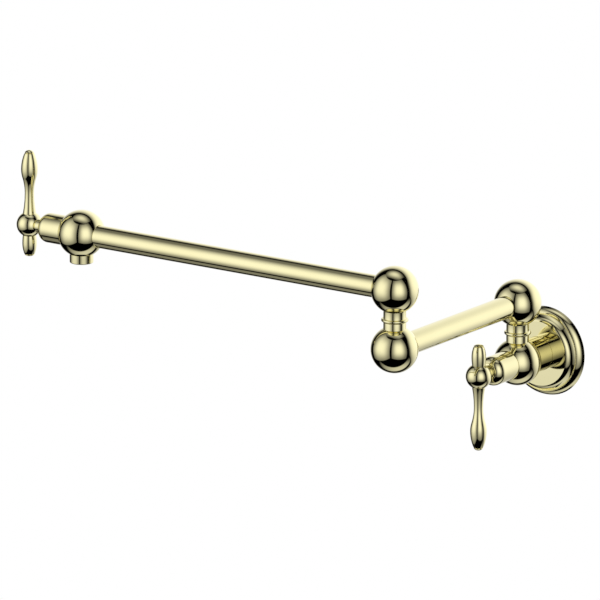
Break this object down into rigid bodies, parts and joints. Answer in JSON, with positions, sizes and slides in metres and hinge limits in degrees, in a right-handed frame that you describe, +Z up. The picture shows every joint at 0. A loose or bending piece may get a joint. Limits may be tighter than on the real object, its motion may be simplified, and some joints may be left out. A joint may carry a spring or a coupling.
{
  "type": "wall mounted pot filler",
  "caption": "Wall mounted pot filler in polished gold brass: folding arms on ball swivels, with a lever valve at the wall and one at the spout.",
  "frame": {"origin": "centre of the inlet's mouth, on the wall plane at the back of the flange", "axes": "+Y into the wall along the inlet, +X right as seen from the room, +Z up; the inner arm rests along -Y and the outer arm along -X"},
  "size_m": [0.4208, 0.2455, 0.2298],
  "materials": {
    "polished_gold_brass": "polished pale gold plate, lacquered",
    "inner_brass": "machined",
    "stainless_steel": "bright stainless",
    "black_rubber": "moulded matte",
    "disc_ceramic": "lapped ceramic",
    "washer_ptfe": "smooth fluoropolymer",
    "aerator_plastic": "moulded"
  },
  "bodies": {
    "wall_base": {"wall_flange": "polished_gold_brass", "flange_gasket": "black_rubber", "flange_o_ring": "black_rubber", "valve_body": "polished_gold_brass", "inlet_screen": "stainless_steel", "wall_swivel_post": "inner_brass", "wall_swivel_o_rings": "black_rubber", "wall_swivel_washer": "washer_ptfe", "wall_swivel_snap_ring": "stainless_steel", "wall_cartridge": "inner_brass", "wall_fixed_disc": "disc_ceramic", "wall_seat_seal": "black_rubber", "wall_bonnet": "polished_gold_brass"},
    "wall_handle": {"wall_handle_hub": "polished_gold_brass", "wall_lever": "polished_gold_brass", "wall_stub": "polished_gold_brass", "wall_set_screw": "stainless_steel", "wall_stem": "inner_brass", "wall_moving_disc": "disc_ceramic", "wall_stem_o_rings": "black_rubber"},
    "inner_arm": {"shoulder_ball": "polished_gold_brass", "inner_tube": "polished_gold_brass", "elbow_lower_ball": "polished_gold_brass", "elbow_swivel_post": "inner_brass", "elbow_swivel_o_rings": "black_rubber", "elbow_swivel_washer": "washer_ptfe", "elbow_swivel_snap_ring": "stainless_steel"},
    "outer_arm": {"elbow_upper_ball": "polished_gold_brass", "outer_tube": "polished_gold_brass", "spout_ball": "polished_gold_brass", "aerator_housing": "polished_gold_brass", "aerator_core": "aerator_plastic", "aerator_screen": "stainless_steel", "aerator_washer": "black_rubber", "spout_cartridge": "inner_brass", "spout_fixed_disc": "disc_ceramic", "spout_seat_seal": "black_rubber", "spout_bonnet": "polished_gold_brass"},
    "spout_handle": {"spout_handle_hub": "polished_gold_brass", "spout_lever": "polished_gold_brass", "spout_stub": "polished_gold_brass", "spout_set_screw": "stainless_steel", "spout_stem": "inner_brass", "spout_moving_disc": "disc_ceramic", "spout_stem_o_rings": "black_rubber"}
  },
  "joints": [
    {"name": "wall_swivel", "type": "hinge", "parent": "wall_base", "child": "inner_arm", "pos_m": [0, -0.044, 0.0507], "axis": [0, 0, 1], "range_deg": [-90, 90]},
    {"name": "elbow_swivel", "type": "hinge", "parent": "inner_arm", "child": "outer_arm", "pos_m": [0, -0.2255, 0.1014], "axis": [0, 0, 1], "continuous": true},
    {"name": "wall_handle_turn", "type": "hinge", "parent": "wall_base", "child": "wall_handle", "pos_m": [0, -0.1016, 0], "axis": [0, -1, 0], "range_deg": [0, 90]},
    {"name": "spout_handle_turn", "type": "hinge", "parent": "outer_arm", "child": "spout_handle", "pos_m": [-0.3716, -0.2255, 0.1014], "axis": [1, 0, 0], "range_deg": [0, 90]}
  ]
}
